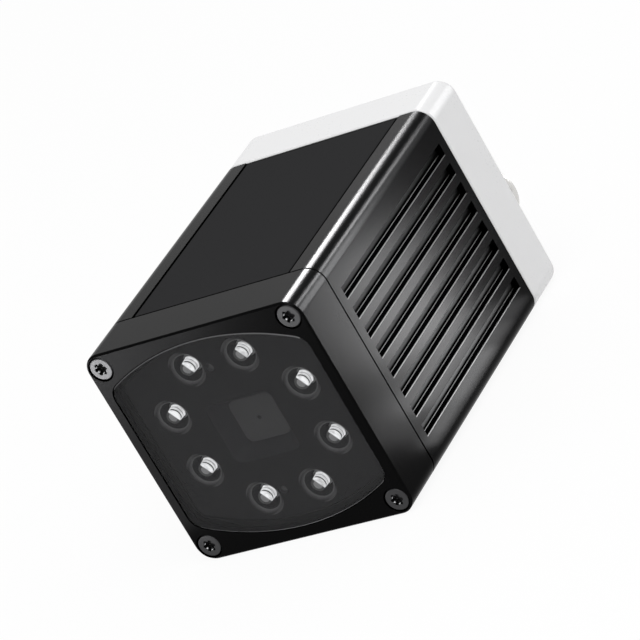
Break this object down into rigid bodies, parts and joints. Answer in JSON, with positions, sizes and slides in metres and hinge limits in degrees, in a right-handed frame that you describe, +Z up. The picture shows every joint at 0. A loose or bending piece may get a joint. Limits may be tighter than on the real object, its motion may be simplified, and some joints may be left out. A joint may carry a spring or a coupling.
{
  "type": "vision sensor",
  "caption": "Compact industrial vision sensor: ribbed black housing, bowed front window over an LED ring and lens, light rear cover with round screw connectors.",
  "frame": {"origin": "middle of the four mounting holes, on the flat underside", "axes": "+X to the right as seen from the front, +Y rearwards along the optical axis (the window faces -Y), +Z up towards the label panel"},
  "size_m": [0.045, 0.082, 0.043],
  "materials": {
    "anodised_black": "satin",
    "label_film": "fine matt",
    "window_glass": "polished",
    "seal_rubber": "matt",
    "screw_steel": "satin",
    "shield_black": "fine grain",
    "aperture_grey": "matt",
    "led_clear": "clear",
    "led_white": "matt",
    "led_solder_mask": "semi-gloss",
    "board_green": "semi-gloss",
    "carrier_plastic": "matt",
    "barrel_black": "matt anodised",
    "lens_glass": "coated",
    "motor_steel": "bright",
    "chip_black": "matt",
    "capacitor_can": "bright",
    "link_black": "matt",
    "flex_film": "amber film",
    "spacer_brass": "turned",
    "cover_grey": "smooth satin",
    "nickel": "nickel plated",
    "insert_black": "matt",
    "contact_gold": "gold plated",
    "pipe_clear": "clear"
  },
  "bodies": {
    "sensor": {"front_frame": "anodised_black", "main_housing": "anodised_black", "label_panel": "label_film", "front_window": "window_glass", "window_seal": "seal_rubber", "front_gasket": "seal_rubber", "rear_gasket": "seal_rubber", "connector_rings": "seal_rubber", "front_screws": "screw_steel", "rear_screws": "screw_steel", "board_screws": "screw_steel", "light_shield": "shield_black", "aperture_plate": "aperture_grey", "led_lenses": "led_clear", "aiming_lights": "led_clear", "led_bases": "led_white", "led_board": "led_solder_mask", "sensor_board": "board_green", "main_board": "board_green", "power_board": "board_green", "optics_carrier": "carrier_plastic", "sensor_glass": "lens_glass", "focus_motor": "motor_steel", "guide_pin": "motor_steel", "image_sensor": "chip_black", "processor": "chip_black", "memory_chips": "chip_black", "inductor": "chip_black", "capacitors": "capacitor_can", "board_links": "link_black", "led_flex": "flex_film", "motor_flex": "flex_film", "front_spacers": "spacer_brass", "middle_spacers": "spacer_brass", "rear_spacers": "spacer_brass", "rear_cover": "cover_grey", "plug_shell": "nickel", "socket_shell": "nickel", "connector_nuts": "nickel", "plug_insert": "insert_black", "socket_insert": "insert_black", "plug_contacts": "contact_gold", "socket_contacts": "contact_gold", "status_pipes": "pipe_clear"},
    "focus_group": {"lens_barrel": "barrel_black", "front_lens": "lens_glass", "rear_lens": "lens_glass", "lens_ring": "barrel_black", "focus_arm": "carrier_plastic"},
    "drive_screw": {"lead_screw": "motor_steel"}
  },
  "joints": [
    {"name": "focus_drive", "type": "hinge", "parent": "sensor", "child": "drive_screw", "pos_m": [0.0132, 0, 0.0215], "axis": [0, 1, 0], "range_deg": [-720, 720]},
    {"name": "focus_slide", "type": "slide", "parent": "sensor", "child": "focus_group", "axis": [0, 1, 0], "range_m": [-0.0008, 0.0008]}
  ],
  "couplings": [
    {"joint": "focus_drive", "follows": "focus_slide", "rad_per_m": 15708}
  ]
}
